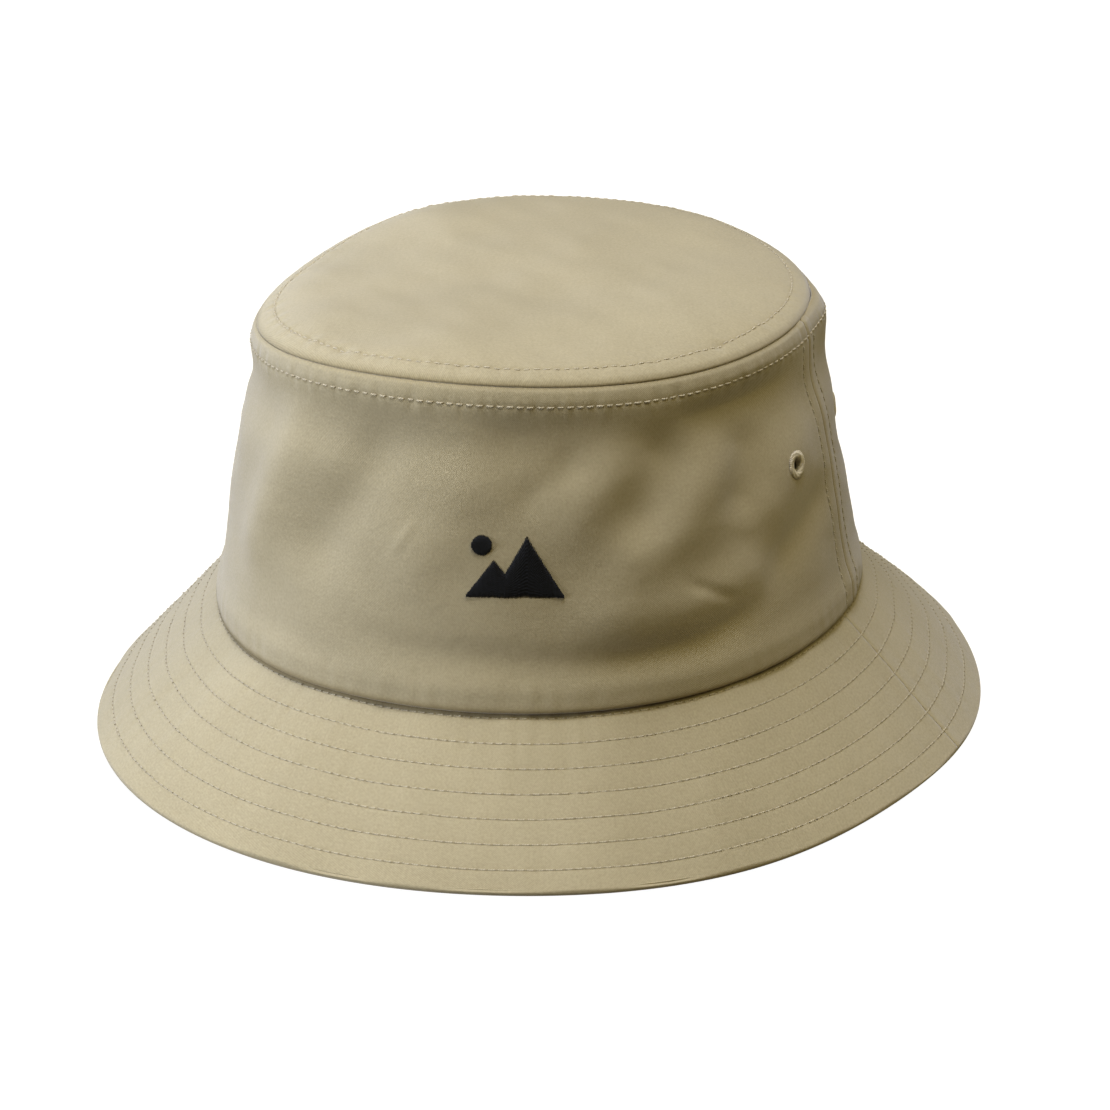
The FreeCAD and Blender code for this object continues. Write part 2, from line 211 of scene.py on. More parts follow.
def side_seams(angle):
    """Ridges of the folded allowances at the side seams, with the seam lines and the topstitched valleys."""
    total = 0 * angle
    for side in (-SIDE_SEAM, SIDE_SEAM):
        x = np.abs(wrap(angle - side)) * SIDE_RADIUS
        total = total + 0.40 * bell(x, 6.0) - 0.40 * bell(x, 0.7) - 0.14 * bell(x - STITCH_OFF, 0.9)
    return total


def wall_relief(angle, height):
    """How far the cloth stands out of the plain wall."""
    top = HEIGHT - height
    from_label = np.abs(wrap(angle - LABEL_ANGLE) * WALL_RADIUS)
    # full over the brim and half way up, drawn in under the stiff band at the top, less so over the label
    level = 1.05 * bell(np.maximum(height - 4.5, 0), 5.0)
    level = level + 1.3 * np.sin(math.pi * np.clip(height / HEIGHT, 0, 1))
    dip = 1.5 - 1.1 * bell(np.maximum(from_label - 11, 0), 6)
    level = level - dip * bell(top - 17, 7.5) + 0.9 * bell(top - 4.8, 4.6)
    # the topstitched valley and the seam line
    level = level - 0.14 * bell(top - STITCH_OFF, 0.8) - 0.9 * bell(top, 0.8)
    # fuller behind the left side seam, and at the back, which leaves room for the care label inside
    level = level + 2.4 * bell(wrap(angle - math.radians(106)) * WALL_RADIUS, 14) * bell(top - 9, 12)
    level = level + 4.9 * bell(from_label, 50) * bell(height - 70, 20) * np.clip(top / 9, 0, 1)
    broad = 0.35 * ring_noise(angle, WALL_RADIUS, height, 46, 11)
    broad = broad + 0.09 * ring_noise(angle, WALL_RADIUS, height, 17, 12)
    small = 0.02 * ring_noise(angle, WALL_RADIUS, height, 6, 13)
    pucker = 0.13 * ring_noise(angle, WALL_RADIUS, height * 0.25, 5.0, 14) * bell(top - STITCH_OFF, 3.0)
    pucker = pucker + 0.08 * ring_noise(angle, WALL_RADIUS, height * 0.3, 7.0, 15) * bell(height - 3, 5)
    fade = np.clip(height / 9, 0, 1) * np.clip((top - 4) / 8, 0, 1)
    return level + (folds(angle, height) + broad + small) * fade + pucker + side_seams(angle)


def wall(angle, height, depth=0.0, relief=True):
    """A point of the wall. height is above the brim seam, along the wall, and depth is in from its face."""
    share = (height / HEIGHT)[..., None]
    low, high = base_curve(angle), tip_curve(angle)
    n = plan_normal(angle, BASE_A, BASE_B)
    lean = math.atan2(BASE_A - TIP_A, HEIGHT)
    out = n * math.cos(lean) + UP * math.sin(lean)
    lift = wall_relief(angle, height) if relief else 0 * angle
    return low + (high - low) * share + out * (lift - depth)[..., None]


# ---- The tip ----
TIP_DIMPLES = (-26, 62)  # degrees


def tip_relief(angle, inset, x, y):
    """How far the cloth stands off the plain dome."""
    level = 0.6 * (1 - bell(inset, 0.9)) - 0.14 * bell(inset - STITCH_OFF, 0.8)
    pucker = 0.15 * ring_noise(angle, TIP_RADIUS, inset * 0.3, 5.5, 21) * bell(inset - STITCH_OFF, 3.2)
    pucker = pucker * (1 - 0.75 * bell(wrap(angle - math.pi), 0.9))
    dimple = 0 * angle
    for middle in TIP_DIMPLES:
        from_middle = wrap(angle - math.radians(middle)) * TIP_RADIUS
        dimple = dimple - 0.8 * bell(from_middle, 2.2) * bell(inset - STITCH_OFF, 1.8)
    broad = 0.35 * soft_noise(x, y, 60, 22) + 0.12 * soft_noise(x, y, 22, 23)
    return level + pucker + dimple + broad * np.clip(inset / 12, 0, 1)


def tip(angle, inset, depth=0.0):
    """A point of the tip, inset millimetres in from its seam."""
    edge = tip_curve(angle)
    radius = np.linalg.norm(edge[..., :2], axis=-1)
    share = np.clip(1 - inset / radius, 0, 1)
    mean = BASE_Z + HEIGHT
    point = edge * share[..., None]
    dome = 3.6 * (1 - share ** 4) + 2.9 * (1 - np.exp(-inset / 5.0))
    tilt = (edge[..., 2] - mean) * share ** 1.5
    point[..., 2] = mean + dome + tilt - depth
    point[..., 2] += tip_relief(angle, inset, point[..., 0], point[..., 1])
    return point


# ---- The brim ----
SLOPE = 0.766            # mean fall of the brim, in radians
WIDER = ((104, 22, 2.0), (-77, 25, 1.2), (68, 20, -1.8), (15, 25, -0.8))      # (degrees, spread, more width)


def extra(angle):
    """How much wider the brim is cut than WIDTH, round the hat."""
    total = 0 * angle
    for degrees, spread, amount in WIDER:
        total = total + amount * bell(np.degrees(wrap(angle - math.radians(degrees))), spread)
    return total


def slope(angle):
    """How steeply the brim falls, in radians."""
    steeper = 0.03 * bell(wrap(angle + math.radians(130)), 0.5)
    steeper = steeper + 0.02 * bell(wrap(angle - math.radians(140)), 0.5)
    return waves(angle, SLOPE, (0.022, -0.014), (-0.055, 0.039), (0.03, -0.012)) + steeper


def row_length(across):
    """Length of a round of stitches, for a whole number of them."""
    reach = across * math.cos(SLOPE)
    a, b = BASE_A + reach, BASE_B + reach
    return math.pi * (3 * (a + b) - math.sqrt((3 * a + b) * (a + 3 * b)))


def brim_relief(angle, across, under):
    """Relief of the plain brim's cloth: sunk along its stitching, puckered, raised at its seams."""
    seed = 40 if under else 30
    total = 0 * angle
    for row in ROWS:
        total = total - 0.08 * bell(across - row, 1.0)
    near = sum(bell(across - row, 2.4) for row in ROWS)
    total = total + 0.06 * near * ring_noise(angle, BRIM_RADIUS, across * 0.15, 4.6, seed + 1)
    total = total + 0.04 * ring_noise(angle, BRIM_RADIUS, across * 0.5, 9.5, seed + 2)
    if not under:
        total = total + 0.22 * ring_noise(angle, BRIM_RADIUS, across * 0.6, 42, seed + 3)
    for side in BRIM_SEAMS:
        x = np.abs(wrap(angle - side)) * (92 + across * 0.72)
        total = total + 0.28 * bell(x, 4.5) - 0.3 * bell(x, 0.6)
    return total


def brim(angle, across, depth=0.0, relief=0):
    """A point of the brim, across millimetres from its seam.

    relief is 1 for the upper side, -1 for the under side, and 0 for a layer inside.
    """
    fall = slope(angle)[..., None]
    n = plan_normal(angle, BASE_A, BASE_B)
    out, normal = n * np.cos(fall) - UP * np.sin(fall), n * np.sin(fall) + UP * np.cos(fall)
    lift = -depth + 0 * angle
    if relief:
        lift = lift + relief * brim_relief(angle, across, relief < 0)
    reach = across + extra(angle) * np.clip(across / WIDTH, 0, 1) ** 2
    return base_curve(angle) - n * 0.9 + out * reach[..., None] + normal * lift[..., None]


def brim_upper(angle, across):
    return brim(angle, across, 0.0, 1)


def brim_lower(angle, across):
    return brim(angle, across, LAYERS, -1)


# ---- Meshes ----
SHADE_WARMTH = np.array([0.9, 1.05, 1.5])          # painted shade darkens blue more than red, so painted crevices look warm


def mesh_object(name, points, faces, uv, shade=None):
    """A smooth mesh in metres, with a "cloth" UV map in metres and a "shade" colour attribute of painted
    shade that darkens its colour.
    """
    mesh = bpy.data.meshes.new(name)
    mesh.from_pydata((np.asarray(points) * 0.001).tolist(), [], faces)
    layer = mesh.uv_layers.new(name="cloth")
    corner = np.empty(len(mesh.loops), dtype=np.int32)
    mesh.loops.foreach_get("vertex_index", corner)
    layer.data.foreach_set("uv", np.asarray(uv)[corner].astype(np.float32).ravel())
    tint = mesh.color_attributes.new("shade", "FLOAT_COLOR", "POINT")
    value = np.ones((len(mesh.vertices), 4), np.float32)
    if shade is not None:
        value[:, :3] = np.asarray(shade, np.float32)[:, None] ** SHADE_WARMTH
    tint.data.foreach_set("color", value.ravel())
    mesh.polygons.foreach_set("use_smooth", [True] * len(mesh.polygons))
    mesh.update()
    piece = bpy.data.objects.new(name, mesh)
    bpy.context.scene.collection.objects.link(piece)
    return piece


def shell(name, outer, inner, uv, closed=False, holes=None, cap=False, shade=None):
    """A cloth with thickness from two grids of points. closed joins the last column to the first.

    holes marks the cells left out, and cap closes the last row with a small face.
    """
    rows, columns = outer.shape[:2]
    count = rows * columns
    index = np.arange(count).reshape(rows, columns)
    if closed:
        index = np.concatenate([index, index[:, :1]], 1)
    a, b, c, d = index[:-1, :-1], index[:-1, 1:], index[1:, 1:], index[1:, :-1]
    keep = np.ones(a.shape, bool) if holes is None else ~holes
    quads = np.stack([a, b, c, d], -1)[keep]
    faces = np.concatenate([quads, quads[:, ::-1] + count])
    edges = np.concatenate([quads[:, [k, (k + 1) % 4]] for k in range(4)])
    _, first, times = np.unique(np.sort(edges, 1), axis=0, return_index=True, return_counts=True)
    rim = edges[first[times == 1]]
    faces = faces.tolist()
    if cap:
        last = set(index[-1].tolist())
        rim = np.array([edge for edge in rim.tolist() if edge[0] not in last])
        ring = index[-1, :columns].tolist()
        faces += [ring, [k + count for k in reversed(ring)]]
    faces += np.stack([rim[:, 1], rim[:, 0], rim[:, 0] + count, rim[:, 1] + count], -1).tolist()
    points = np.concatenate([outer.reshape(-1, 3), inner.reshape(-1, 3)])
    uvs = np.concatenate([uv.reshape(-1, 2)] * 2)
    tint = None if shade is None else np.concatenate([shade.ravel()] * 2)
    return mesh_object(name, points, faces, uvs, tint)


def tubes(name, points, t, half_length, shade=None):
    """Separate closed tubes. points is (tube, ring, side, xyz), and t runs along each tube from -1 to 1."""
    index = np.arange(points[..., 0].size).reshape(points.shape[:3])
    following = np.roll(index, -1, 2)
    quads = np.stack([index[:, :-1], following[:, :-1], following[:, 1:], index[:, 1:]], -1).reshape(-1, 4)
    caps = np.concatenate([index[:, 0, ::-1], index[:, -1]])
    turn = np.linspace(0, TURN, points.shape[2], endpoint=False)
    u = np.broadcast_to(t[None, :, None] * half_length * 0.001, index.shape)
    v = np.broadcast_to(turn[None, None, :] * 0.001, index.shape)
    if shade is not None:
        shade = np.broadcast_to(shade[None, :, None], index.shape).ravel()
    uv = np.stack([u, v], -1).reshape(-1, 2)
    return mesh_object(name, points.reshape(-1, 3), quads.tolist() + caps.tolist(), uv, shade)


def grid(first, last, columns, low, high, rows):
    """Angles and levels of a grid of points."""
    return np.meshgrid(np.linspace(first, last, columns), np.linspace(low, high, rows))


def cloth_uv(angle, level, radius):
    return np.stack([angle * radius * 0.001, level * 0.001], -1)


def finish_piece(piece, material, node_name, body="hat"):
    piece.data.materials.append(material)
    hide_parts(node_name)
    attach(piece, body)
    return piece


# ---- Materials ----
MIX_A, MIX_B, MIX_RESULT = 6, 7, 2                 # a Mix node's sockets for colour


class Look:
    """A material under way: its nodes, and short ways to add to them."""

    def __init__(self, name):
        self.material = bpy.data.materials.new(name)
        self.material.use_nodes = True
        self.nodes = self.material.node_tree.nodes
        self.links = self.material.node_tree.links
        self.shader = self.nodes["Principled BSDF"]

    def maths(self, operation, a, b=None):
        made = self.nodes.new("ShaderNodeMath")
        made.operation = operation
        for k, value in enumerate((a, b)):
            if isinstance(value, (int, float)):
                made.inputs[k].default_value = value
            elif value is not None:
                self.links.new(value, made.inputs[k])
        return made.outputs[0]

    def total(self, a, b):
        return self.maths("ADD", a, b)

    def times(self, a, b):
        return self.maths("MULTIPLY", a, b)

    def sine(self, a):
        return self.maths("SINE", a)

    def cloth_places(self):
        """The cloth's UV map, and its two parts: along and up the cloth, in metres."""
        place = self.nodes.new("ShaderNodeUVMap")
        place.uv_map = "cloth"
        split = self.nodes.new("ShaderNodeSeparateXYZ")
        self.links.new(place.outputs[0], split.inputs[0])
        return place.outputs[0], split.outputs[0], split.outputs[1]

    def noise(self, places, scale, detail):
        made = self.nodes.new("ShaderNodeTexNoise")
        made.inputs["Scale"].default_value = scale
        made.inputs["Detail"].default_value = detail
        self.links.new(places, made.inputs["Vector"])
        return made.outputs[0]

    def colour(self, blend, low, dark, high, light):
        """A colour from dark to light, multiplied by the mesh's painted shade, in seams, crevices and at
        needle holes.
        """
        ramp = self.nodes.new("ShaderNodeValToRGB")
        ends = ramp.color_ramp.elements
        ends[0].position, ends[0].color = low, (*dark, 1)
        ends[1].position, ends[1].color = high, (*light, 1)
        self.links.new(blend, ramp.inputs[0])
        tint = self.nodes.new("ShaderNodeVertexColor")
        tint.layer_name = "shade"
        mix = self.nodes.new("ShaderNodeMix")
        mix.data_type, mix.blend_type = "RGBA", "MULTIPLY"
        mix.inputs[0].default_value = 1.0
        self.links.new(ramp.outputs[0], mix.inputs[MIX_A])
        self.links.new(tint.outputs[0], mix.inputs[MIX_B])
        self.links.new(mix.outputs[MIX_RESULT], self.shader.inputs["Base Color"])

    def bump(self, height, strength, distance):
        made = self.nodes.new("ShaderNodeBump")
        made.inputs["Strength"].default_value = strength
        made.inputs["Distance"].default_value = distance
        self.links.new(height, made.inputs["Height"])
        self.links.new(made.outputs[0], self.shader.inputs["Normal"])

    def finish(self, roughness, specular, sheen):
        self.shader.inputs["Roughness"].default_value = roughness
        self.shader.inputs["Specular IOR Level"].default_value = specular
        self.shader.inputs["Sheen Weight"].default_value = sheen
        return self.material


def cloth_material(name, dark, light, pitch=0.62, diagonal=1.0, depth=0.35, roughness=0.88, sheen=0.25,
                   patches=0.5):
    """Woven cloth: slanting ribs pitch millimetres apart, uneven yarn, fuzz and a slow drift of colour."""
    look = Look(name)
    place, u, v = look.cloth_places()
    per_rib = TURN / pitch * 1000
    ribs = look.total(look.times(u, per_rib * diagonal), look.times(v, per_rib))
    ribs = look.sine(look.total(ribs, look.times(look.noise(place, 900.0, 2.0), 1.6)))
    floats = look.times(look.sine(look.times(u, per_rib / 0.55)), 0.35)
    weave = look.total(ribs, floats)
    yarn = look.noise(place, 1300.0, 3.0)
    fuzz = look.noise(place, 430.0, 3.0)
    slow = look.noise(look.nodes.new("ShaderNodeTexCoord").outputs["Object"], 22.0, 3.0)
    blend = look.total(look.times(weave, 0.10), look.times(yarn, 0.8))
    blend = look.total(blend, look.times(fuzz, 0.2))
    blend = look.total(look.total(blend, look.times(slow, patches)), -0.2)
    look.colour(blend, 0.25, dark, 0.80, light)
    look.bump(look.total(look.times(weave, 0.5), yarn), depth, 0.00012)
    look.shader.inputs["Sheen Roughness"].default_value = 0.5
    return look.finish(roughness, 0.25, sheen)


def thread_material(name, dark, light, roughness=0.6, sheen=0.2, specular=0.4):
    """Twisted thread: fine slanting plies along each stitch."""
    look = Look(name)
    _, u, v = look.cloth_places()
    plies = look.sine(look.total(look.times(u, 9000.0), look.times(v, 2000.0)))
    look.colour(look.times(look.total(plies, 1.0), 0.5), 0.0, dark, 1.0, light)
    look.bump(plies, 0.5, 0.0001)
    return look.finish(roughness, specular, sheen)


TWILL = cloth_material("khaki_twill", (0.300, 0.247, 0.135), (0.420, 0.352, 0.205), sheen=0.35)
UNDER = cloth_material("khaki_twill_under", (0.290, 0.237, 0.132), (0.400, 0.337, 0.197), sheen=0.3)
BAND = cloth_material("sweatband_twill", (0.300, 0.250, 0.155), (0.410, 0.345, 0.220), pitch=0.8,
                      diagonal=-1.0)
TAPE = cloth_material("seam_tape", (0.280, 0.230, 0.140), (0.380, 0.315, 0.195), pitch=0.5, diagonal=0.0)
BACKING = cloth_material("non_woven", (0.62, 0.61, 0.57), (0.78, 0.77, 0.73), pitch=1.4, diagonal=0.3,
                         depth=0.15)
LABEL = cloth_material("label_satin", (0.62, 0.61, 0.57), (0.80, 0.79, 0.75), pitch=0.3, diagonal=0.0,
                       depth=0.12, roughness=0.45, patches=0.2)
THREAD = thread_material("khaki_thread", (0.36, 0.30, 0.18), (0.51, 0.44, 0.29))
EYELET = thread_material("eyelet_thread", (0.42, 0.36, 0.24), (0.60, 0.53, 0.38), roughness=0.5)
BLACK = thread_material("black_thread", (0.002, 0.002, 0.002), (0.007, 0.007, 0.007), sheen=0.0,
                        specular=0.15)


# ---- Where the eyelets and the emblem are ----
def place_on_wall(node):
    """Degrees from the front, and height over the brim seam, of the middle of a CAD node."""
    low, high = cad(node)
    middle = (low + high) / 2
    share = (middle[2] - WALL_LOW[2]) / (WALL_HIGH[2] - WALL_LOW[2])
    return math.degrees(math.atan2(middle[0] / BASE_A, -middle[1] / BASE_B)), share * HEIGHT


EYELETS = {key: place_on_wall(f"eyelet_{key}")
           for key in ("front_left", "front_right", "back_left", "back_right")}
HOLE = 2.4               # radius cut out of the wall under an eyelet
EMBLEM_ANGLE, EMBLEM_HEIGHT = place_on_wall("front_emblem")


# ---- Crown pieces ----
# The wall's lower edge in section, from inside the seam outwards: (out, up) of its outer face, then of its
# inner one.
ROLL = np.array([(-1.7, 0.80, -1.7, 1.60), (-1.0, 0.05, -1.0, 0.85), (-0.3, -0.25, -0.4, 0.50),
                 (0.35, -0.28, -0.05, 0.44), (0.78, -0.02, 0.12, 0.50), (1.0, 0.32, 0.28, 0.70)])
ROLL_OUT = 1.05          # how far the plain wall stands out just above the roll
ROLL_TOP = 0.8           # height at which the plain wall starts


def wall_panel(name, first, last, node_name):
    """Half of the wall. Its lower edge rolls under, on to the brim, and into the seam."""
    gap, columns = 0.0008, 560
    angle, height = grid(first + gap, last - gap, columns, ROLL_TOP, HEIGHT, 150)
    open_here = np.zeros(angle.shape, bool)
    for degrees, level in EYELETS.values():
        x = wrap(angle - math.radians(degrees)) * EYELET_RADIUS
        open_here |= np.hypot(x, height - level) < HOLE
    holes = open_here[:-1, :-1] & open_here[1:, :-1] & open_here[:-1, 1:] & open_here[1:, 1:]
    holes = np.concatenate([np.zeros((len(ROLL), columns - 1), bool), holes])
    top = HEIGHT - height
    # painted shade: darker in the tip seam, in the topstitched valley and down in the crevice at the brim
    # seam
    shade = 1 - 0.25 * bell(top, 0.8) - 0.08 * bell(top - STITCH_OFF, 0.6) - 0.35 * bell(height - 0.3, 1.0)
    outer, inner = wall(angle, height), wall(angle, height, CLOTH)

    ring = angle[:len(ROLL)]
    normal = plan_normal(ring, BASE_A, BASE_B)
    share = np.linspace(0, 1, len(ROLL) + 1)[:-1, None]
    uneven = np.sum((outer[0] - wall(angle[0], height[0], relief=False))[None] * normal, -1) - ROLL_OUT

    def rolled(out, up):
        return base_curve(ring) + normal * (out[:, None] + uneven * share)[..., None] + UP * up[:, None, None]

    outer = np.concatenate([rolled(ROLL[:, 0], ROLL[:, 1]), outer])
    inner = np.concatenate([rolled(ROLL[:, 2], ROLL[:, 3]), inner])
    uv = np.concatenate([cloth_uv(ring, share * 3 - 3 + 0 * ring, 91), cloth_uv(angle, height, 91)])
    # painted shade on the roll, darkest where it turns under into the crevice
    shade = np.concatenate([0.25 + 0.45 * share + 0 * ring, shade])
    piece = shell(name, outer, inner, uv, holes=holes, shade=shade)
    return finish_piece(piece, TWILL, node_name)


wall_panel("crown_wall_front", -SIDE_SEAM, SIDE_SEAM, "crown_front_panel")
wall_panel("crown_wall_back", SIDE_SEAM, TURN - SIDE_SEAM, "crown_back_panel")


def crown_tip():
    shares = np.concatenate([np.linspace(0.998, 0.85, 34), np.linspace(0.84, 0.01, 70)])
    angle, share = np.meshgrid(np.linspace(0, TURN, 720, endpoint=False), shares)
    inset = (1 - share) * np.linalg.norm(tip_curve(angle)[..., :2], axis=-1)
    top, bottom = tip(angle, inset), tip(angle, inset, CLOTH)
    # painted shade: darker in the tip seam and in the topstitched groove
    shade = 1 - 0.25 * bell(inset, 0.8) - 0.10 * bell(inset - STITCH_OFF, 0.6)
    piece = shell("crown_tip_cloth", top, bottom, top[..., :2] * 0.001, closed=True, cap=True, shade=shade)
    return finish_piece(piece, TWILL, "crown_tip")


crown_tip()


# ---- Brim pieces ----
BRIM_UV = 118            # radius that the brim's UV map takes for the whole brim


def brim_edge(angle, across, turn):
    """A point on the rounded edge. turn runs from 0 on the upper side to 1 on the under side."""
    half = LAYERS / 2
    around = math.pi * turn
    return brim(angle, across + half * 0.75 * np.sin(around), half - half * np.cos(around))


def brim_cloth(name, first, last, under, node_name):
    """The upper or the under cloth of half the brim."""
    gap = 0.0006
    columns, rows = (520, 96) if under else (760, 132)
    angle, across = grid(first + gap, last - gap, columns, -1.9, WIDTH - 1.0, rows)
    outer = brim_lower(angle, across) if under else brim_upper(angle, across)
    inner = brim(angle, across, LAYERS - CLOTH if under else CLOTH)
    # the turned edge, down to the seam in the middle of the thickness
    ring = angle[0]
    steps = np.linspace(0.12, 0.47, 7)
    turns = 1 - steps if under else steps
    rim_outer = [brim_edge(ring, 0 * ring + WIDTH - 1.0, turn) for turn in turns]
    rim_inner = [brim_edge(ring, 0 * ring + WIDTH - 1.9, turn) for turn in turns]
    # the allowance, turned up inside the wall
    rise = np.linspace(FLANGE, 2.0, 6)
    near = (1.75 if under else 0.9) + 1.4 * bell(rise - 1.6, 1.6)
    flanges = [[wall(ring, 0 * ring + h, d + more, False) for h, d in zip(rise, near)] for more in (0, 0.65)]
    if under:
        flanges.reverse()
    outer = np.concatenate([flanges[0], outer, rim_outer])
    inner = np.concatenate([flanges[1], inner, rim_inner])
    # painted shade: a little darker along the stitch rows, and much darker in the crevice under the wall's
    # roll
    shade = 1 - 0.03 * sum(bell(across - row, 0.6) for row in ROWS) - 0.75 * bell(across - 0.1, 1.35)
    shade = np.concatenate([np.ones((len(rise), columns)), shade, np.ones((len(steps), columns))])
    levels = np.concatenate([-rise, across[:, 0], WIDTH - 1.0 + steps * 3.0])
    uv = cloth_uv(*np.meshgrid(ring, levels), BRIM_UV)
    if under:
        outer, inner, uv, shade = outer[::-1], inner[::-1], uv[::-1], shade[::-1]
    piece = shell(name, outer, inner, uv, shade=shade)
    return finish_piece(piece, UNDER if under else TWILL, node_name)


def interlining(name, first, last, node_name):
    """Half of the stiffener between the brim's two cloths."""
    angle, across = grid(first, last, 180, 2.0, WIDTH - 3.0, 24)
    near = CLOTH + 0.45
    piece = shell(name, brim(angle, across, near), brim(angle, across, LAYERS - near),
                  cloth_uv(angle, across, BRIM_UV))
    return finish_piece(piece, BACKING, node_name)


LEFT, RIGHT = BRIM_SEAMS
brim_cloth("brim_upper_front", RIGHT, LEFT, False, "brim_top_front")
brim_cloth("brim_upper_back", LEFT, RIGHT + TURN, False, "brim_top_back")
brim_cloth("brim_lower_front", RIGHT, LEFT, True, "brim_under_front")
brim_cloth("brim_lower_back", LEFT, RIGHT + TURN, True, "brim_under_back")
interlining("brim_stiffener_front", RIGHT, LEFT, "brim_interlining_front")
interlining("brim_stiffener_back", LEFT, RIGHT + TURN, "brim_interlining_back")


# ---- Inside the crown ----
SIDES = (("left", SIDE_SEAM), ("right", -SIDE_SEAM))
TAPE_HALF = 7.0          # half the width of the side seam tapes
TAPE_REACH = 7.5         # of the crown tape, to each side of the tip seam


def inner_band(name, angle, low, high, near, far, material, node_name, closed, rows):
    """A strip inside the wall, between two depths, with a thinner upper edge."""
    angle, height = np.meshgrid(angle, np.linspace(low, high, rows))
    edge = 0.25 * bell(height - high, 1.2)
    piece = shell(name, wall(angle, height, near + edge), wall(angle, height, far - edge),
                  cloth_uv(angle, height, SIDE_RADIUS), closed=closed)
    return finish_piece(piece, material, node_name)


def whole_turn(columns):
    return np.linspace(0, TURN, columns, endpoint=False)


def crown_tape():
    """Binding over the tip seam: up the wall and in under the tip."""
    angle = whole_turn(480)
    faces = []
    for near in (0.85, 1.35):
        line = [wall(angle, 0 * angle + height, near + 0.3)
                for height in np.linspace(HEIGHT - TAPE_REACH, HEIGHT - 2.6, 6)]
        line += [tip(angle, 0 * angle + inset, near + 0.5) for inset in np.linspace(2.4, TAPE_REACH, 7)]
        faces.append(np.array(line))
    level = np.linspace(0, 14, len(faces[0]))
    piece = shell("crown_tape", *faces, cloth_uv(*np.meshgrid(angle, level), TIP_RADIUS), closed=True)
    return finish_piece(piece, TAPE, "crown_seam_tape")


def emblem_patch():
    half, tall, middle = 18.0 / SIDE_RADIUS, 12, math.radians(EMBLEM_ANGLE)
    angle, height = grid(middle - half, middle + half, 50, EMBLEM_HEIGHT - tall, EMBLEM_HEIGHT + tall, 34)
    piece = shell("emblem_patch_inside", wall(angle, height, 0.82), wall(angle, height, 1.1),
                  cloth_uv(angle, height, SIDE_RADIUS))
    return finish_piece(piece, BACKING, "emblem_backing")


inner_band("sweatband_cloth", whole_turn(480), 0.6, 32.0, 2.45, 3.95, BAND, "sweatband",
           True, 40)
inner_band("sweatband_core", whole_turn(360), 1.2, 31.0, 3.0, 3.4, BACKING,
           "sweatband_stiffener", True, 10)
for side, middle in SIDES:
    half = TAPE_HALF / SIDE_RADIUS
    inner_band(f"side_tape_{side}", np.linspace(middle - half, middle + half, 30), 8.5, HEIGHT - TAPE_REACH,
               0.85, 1.3, TAPE, f"side_seam_tape_{side}", False, 80)
crown_tape()
emblem_patch()


# ---- Stitching ----
STITCH = 2.35            # length of a stitch
THICK = 0.58             # width of its thread
RISE, TIP_RISE = 0.14, 0.06                        # how far the middle of a stitch stands off the cloth
SINK = 0.26              # how far its ends go in
TIP_STITCHES, WALL_STITCHES = 172, 186


def stitches(name, lines, node_name, rise=RISE, dark=0.6):
    """Single stitches, each with ends that dip into the cloth and are darkened by dark, a painted shade at
    the needle holes.

    Each line is (middles, directions, normals) of its stitches.
    """
    where, along, normal = (np.concatenate(part) for part in zip(*lines))
    across = unit(np.cross(normal, along))
    normal = np.cross(along, across)
    rings, sides = 9, 6
    t = np.linspace(-1, 1, rings)
    arch = rise - (SINK + rise) * np.abs(t) ** 3
    taper = np.sqrt(np.clip(1 - np.abs(t) ** 6, 0.06, 1))[None, :, None, None]
    turn = np.linspace(0, TURN, sides, endpoint=False)
    jitter = rng.normal(0, 0.03, (len(where), 1, 1, 1))
    size = 1 + rng.normal(0, 0.04, (len(where), 1, 1, 1))
    where, along, across, normal = (part[:, None, None] for part in (where, along, across, normal))
    points = (where + along * (t * STITCH / 2)[None, :, None, None] * size
              + normal * (arch[None, :, None, None] + jitter)
              + across * (np.cos(turn) * THICK / 2)[None, None, :, None] * taper
              + normal * (np.sin(turn) * THICK * 0.4)[None, None, :, None] * taper)
    # painted shade: each stitch darkens towards its ends, where it goes into its needle hole
    piece = tubes(name, points, t, STITCH / 2, 1 - dark * np.abs(t) ** 7)
    return finish_piece(piece, THREAD, node_name)


def surface_normal(surface, angle, level):
    """Outward normal of a surface(angle, level)."""
    e = 0.4
    a = surface(angle + e / SIDE_RADIUS, level) - surface(angle - e / SIDE_RADIUS, level)
    b = surface(angle, level + e) - surface(angle, level - e)
    return unit(np.cross(a, b))


def round_of_stitches(surface, level, count, flip=1):
    """One closed round of stitches at a level of a surface, on the far side of it if flip is -1."""
    angle = (np.arange(count) + 0.5) / count * TURN
    line = 0 * angle + level
    ahead = unit(surface(angle + 0.005, line) - surface(angle - 0.005, line))
    return surface(angle, line), ahead, surface_normal(surface, angle, line) * flip


def upright_stitches(middle):
    """The topstitching to both sides of a side seam."""
    lines = []
    for off in (-STITCH_OFF, STITCH_OFF):
        height = np.arange(2.0, HEIGHT - STITCH_OFF - 1, PITCH)
        angle = 0 * height + middle + off / SIDE_RADIUS
        ahead = unit(wall(angle, height + 0.5) - wall(angle, height - 0.5))
        lines.append((wall(angle, height), ahead, surface_normal(wall, angle, height)))
    return lines


for k, across in enumerate(ROWS):
    count = round(row_length(across) / PITCH)
    upper = round_of_stitches(brim_upper, across, count)
    lower = round_of_stitches(brim_lower, across, count, flip=-1)
    name = "brim_edge_stitch_at_crown" if k == 0 else f"brim_stitch_row_{k}"
    stitches(name.replace("stitch", "thread"), [upper, lower], name)

stitches("tip_threads", [round_of_stitches(tip, STITCH_OFF, TIP_STITCHES)], "tip_topstitch", rise=TIP_RISE)
stitches("wall_threads", [round_of_stitches(wall, HEIGHT - STITCH_OFF, WALL_STITCHES)], "wall_topstitch")
for side, middle in SIDES:
    # less painted shade at the ends of these stitches
    stitches(f"side_threads_{side}", upright_stitches(middle), f"side_seam_stitching_{side}", dark=0.2)


# ---- Worked eyelets ----
EYELET_IN, EYELET_OUT = 1.9, 4.0
